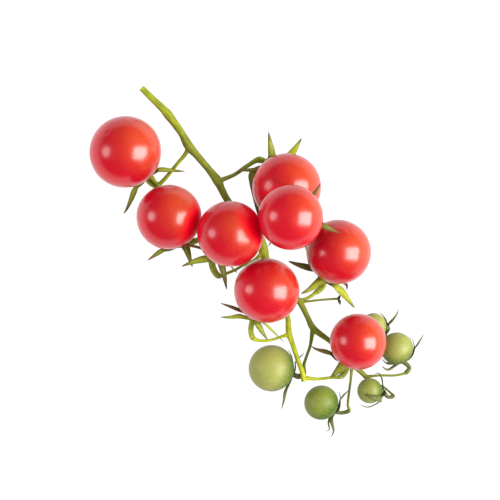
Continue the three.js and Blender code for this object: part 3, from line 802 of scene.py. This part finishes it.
def evenly(points, count):
    """The same way as points, in count equal steps."""
    lengths = [0.0]
    for a, b in zip(points, points[1:]):
        lengths.append(lengths[-1] + (b - a).length)
    spread, number = [], 0
    for step in range(count + 1):
        goal = lengths[-1] * step / count
        while number < len(points) - 2 and lengths[number + 1] < goal:
            number += 1
        part = (goal - lengths[number]) / max(1e-9, lengths[number + 1] - lengths[number])
        spread.append(points[number].lerp(points[number + 1], min(1.0, part)))
    return spread


def out_of_fruits(place, margin, own=None, own_margin=0.0):
    """A place, moved at least a margin away from every fruit's skin. Its own fruit may have another."""
    for name, (centre, radius, _, _) in TOMATOES.items():
        away = radius + (own_margin if name == own else margin)
        out = place - Vector(centre)
        if out.length < away:
            place = Vector(centre) + out.normalized() * away
    return place


def blade_width(part):
    """How wide a sepal is at that part of its length, over its greatest width."""
    return 1.6 * min(1.0, 0.7 + 1.5 * part) * (1 - part) ** 0.8 + 0.12


bpy.ops.object.select_all(action="DESELECT")
bpy.ops.mesh.primitive_grid_add(x_subdivisions=SEPAL_STEPS, y_subdivisions=10, size=2)
blank_sepal = bpy.context.object
bpy.ops.object.mode_set(mode="EDIT")
bpy.ops.mesh.select_all(action="SELECT")
bpy.ops.transform.translate(value=(0, 0, -1))
bpy.ops.mesh.extrude_region_move(TRANSFORM_OT_translate={"value": (0, 0, 2)})
bpy.ops.mesh.select_all(action="SELECT")
bpy.ops.mesh.normals_make_consistent(inside=False)
bpy.ops.object.mode_set(mode="OBJECT")


def lay_sepal(name, number, half_width, sepal_age, points):
    """A sepal bent along its way over the fruit, and its marks: age, and how near its edge they are."""
    centre, radius = Vector(TOMATOES[name][0]), TOMATOES[name][1]
    root = centre + stem_axis(name) * (radius + CALYX_GAP + SEPAL_THICKNESS)
    way = evenly(curve_through([root, *(centre + Vector(p) for p in points)], 12), SEPAL_STEPS)
    widths = [half_width * blade_width(step / SEPAL_STEPS) for step in range(SEPAL_STEPS + 1)]
    skin_gap = CALYX_GAP + SEPAL_THICKNESS / 2
    way = [out_of_fruits(place, skin_gap + width, name, skin_gap) for place, width in zip(way, widths)]
    for _ in range(3):
        way[1:-1] = [(a + 2 * b + c) / 4 for a, b, c in zip(way, way[1:], way[2:])]
    outward = stem_axis(name)
    frames = []
    flat = Vector((0, 0, 1 if (way[-1] - centre).z > 0.6 * radius else -1))
    for step, place in enumerate(way):
        along = (way[min(step + 1, SEPAL_STEPS)] - way[max(step - 1, 0)]).normalized()
        from_skin = (place - centre).length - radius
        free = min(1.0, max(0.0, (from_skin - LIFT_OFF) / LEVEL_OFF))
        goal = (place - centre).normalized().lerp(flat, free)
        outward = outward * 0.75 + goal * 0.25
        outward = (outward - along * outward.dot(along)).normalized()
        frames.append((place, outward.cross(along), outward.copy()))
    twist = SEPAL_TWIST * noise.noise(Vector((number * 3.7, radius, centre.x * 0.1)))
    piece = blank_sepal.copy()
    piece.data = blank_sepal.data.copy()
    piece.name = "sepal"
    bpy.context.collection.objects.link(piece)
    marks = []
    for vertex in piece.data.vertices:
        part, side, face = (vertex.co.x + 1) / 2, vertex.co.y, vertex.co.z
        step = min(SEPAL_STEPS, round(part * SEPAL_STEPS))
        place, across, out = frames[step]
        turn = twist * part ** 2
        side_way = across * math.cos(turn) + out * math.sin(turn)
        face_way = out * math.cos(turn) - across * math.sin(turn)
        thickness = SEPAL_THICKNESS * (0.75 - 0.25 * side ** 2) * (1 - 0.3 * part)
        rise = SEPAL_FOLD * abs(side) ** 1.5 * widths[step] + 0.5 * face * thickness
        if face > 0:
            rise += MIDRIB_HEIGHT * math.exp(-(side / 0.22) ** 2) * (1 - part)
        corner = place + side_way * side * widths[step] + face_way * rise
        vertex.co = in_frame(out_of_fruits(corner, SKIN_CLEARANCE + (0.5 + 0.5 * face) * thickness))
        dry_tip = max(0.0, (part - 0.72) / 0.28)
        years = min(1.0, sepal_age * (0.55 + 0.45 * part) + 0.75 * dry_tip ** 1.5)
        marks.append((vertex.co.copy(), years, abs(side)))
    return piece, marks


# Sepals and upper stem, grown: thin green leaf tissue with a raised midrib and a fine down. To the eye it
# is matt, yellow-green when fresh, olive with dark edges when older, and dull brown where it has dried;
# around an unripe fruit the down is thicker, and greys it.
sepal_skin, sepal_output = new_material("Tomato sepal, downy leaf tissue")
age = add_node(sepal_skin, "ShaderNodeAttribute", attribute_name="age")
rim = add_node(sepal_skin, "ShaderNodeAttribute", attribute_name="rim")
where = add_node(sepal_skin, "ShaderNodeTexCoord")
patches = add_node(sepal_skin, "ShaderNodeTexNoise", {
    "Vector": where.outputs["Object"], "Scale": 1 / (1.2 * MM), "Detail": 4.0,
})
patch_sway = add_node(sepal_skin, "ShaderNodeMath", {0: patches.outputs[0], 1: 0.45, 2: -0.225},
                      operation="MULTIPLY_ADD")
rim_darkening = add_node(sepal_skin, "ShaderNodeMapRange", {
    "Value": rim.outputs["Fac"], "From Min": 0.35, "From Max": 1.0, "To Min": -0.08, "To Max": 0.22,
})
aged = add_node(sepal_skin, "ShaderNodeMath", {0: age.outputs["Fac"], 1: patch_sway.outputs[0]},
                operation="ADD")
aged_more = add_node(sepal_skin, "ShaderNodeMath", {0: aged.outputs[0], 1: rim_darkening.outputs[0]},
                     operation="ADD")
grey_down = add_node(sepal_skin, "ShaderNodeAttribute", attribute_name="grey_down")
sepal_colour = add_node(sepal_skin, "ShaderNodeValToRGB", {"Fac": aged_more.outputs[0]}, stops=[
    (0.0, "90941a"), (0.3, "666c12"), (0.55, "564e10"), (0.8, "684618"), (1.0, "44260e"),
])
down_grain = add_node(sepal_skin, "ShaderNodeTexNoise", {
    "Vector": where.outputs["Object"], "Scale": 1 / (0.3 * MM), "Detail": 2.0,
})
down_bump = add_node(sepal_skin, "ShaderNodeBump", {
    "Height": down_grain.outputs[0], "Strength": 0.5, "Distance": 0.12 * MM,
})
downy_colour = add_node(sepal_skin, "ShaderNodeMix", {
    0: grey_down.outputs["Fac"], 6: sepal_colour.outputs[0], 7: linear("3a4226"),
}, data_type="RGBA")
sepal_shader = add_node(sepal_skin, "ShaderNodeBsdfPrincipled", {
    "Base Color": downy_colour.outputs[2], "Roughness": 0.55, "IOR": 1.4,
    "Specular IOR Level": 0.35, "Sheen Weight": 0.04, "Sheen Roughness": 0.5,
    "Normal": down_bump.outputs[0],
})
sepal_skin.node_tree.links.new(sepal_shader.outputs[0], sepal_output.inputs["Surface"])

for name, sepals in SEPALS.items():
    centre, radius = Vector(TOMATOES[name][0]), TOMATOES[name][1]
    rows, knuckle, _, upper_age = STEMS[name]
    kind = name.split("_")[0]
    hub = HUB_RADIUS[kind]
    hub_outer = centre + stem_axis(name) * (radius + 2.5 * CALYX_GAP)
    hub_inner = centre + stem_axis(name) * (radius * (FLATTENING - HOLLOW_DEPTH) + CALYX_GAP)
    rows = [*rows, (*hub_outer, hub * 0.8), (*hub_inner, hub)]
    samples = stem_samples(rows, first=knuckle, trim_first=KNUCKLE_CLEFT)
    parts = [tube(samples, "upper_stem")]
    marks = [(mark[0], upper_age, STEM_RIM) for mark in marks_along(samples, upper_age, upper_age)]
    for number, sepal in enumerate(sepals):
        blade, blade_marks = lay_sepal(name, number, *sepal)
        parts.append(blade)
        marks += blade_marks
    calyx = grow_together(parts, f"leaves_of_{name}", CALYX_VOXEL, 3)
    nearest = nearest_marks(calyx, marks)
    store(calyx, "age", [years for _, years, _ in nearest])
    store(calyx, "rim", [rim for _, _, rim in nearest])
    store(calyx, "grey_down", [GREY_DOWN[kind]] * len(nearest))
    calyx.data.materials.append(sepal_skin)
    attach(calyx, "root")
    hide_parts(f"calyx_{name}")
bpy.data.objects.remove(blank_sepal)
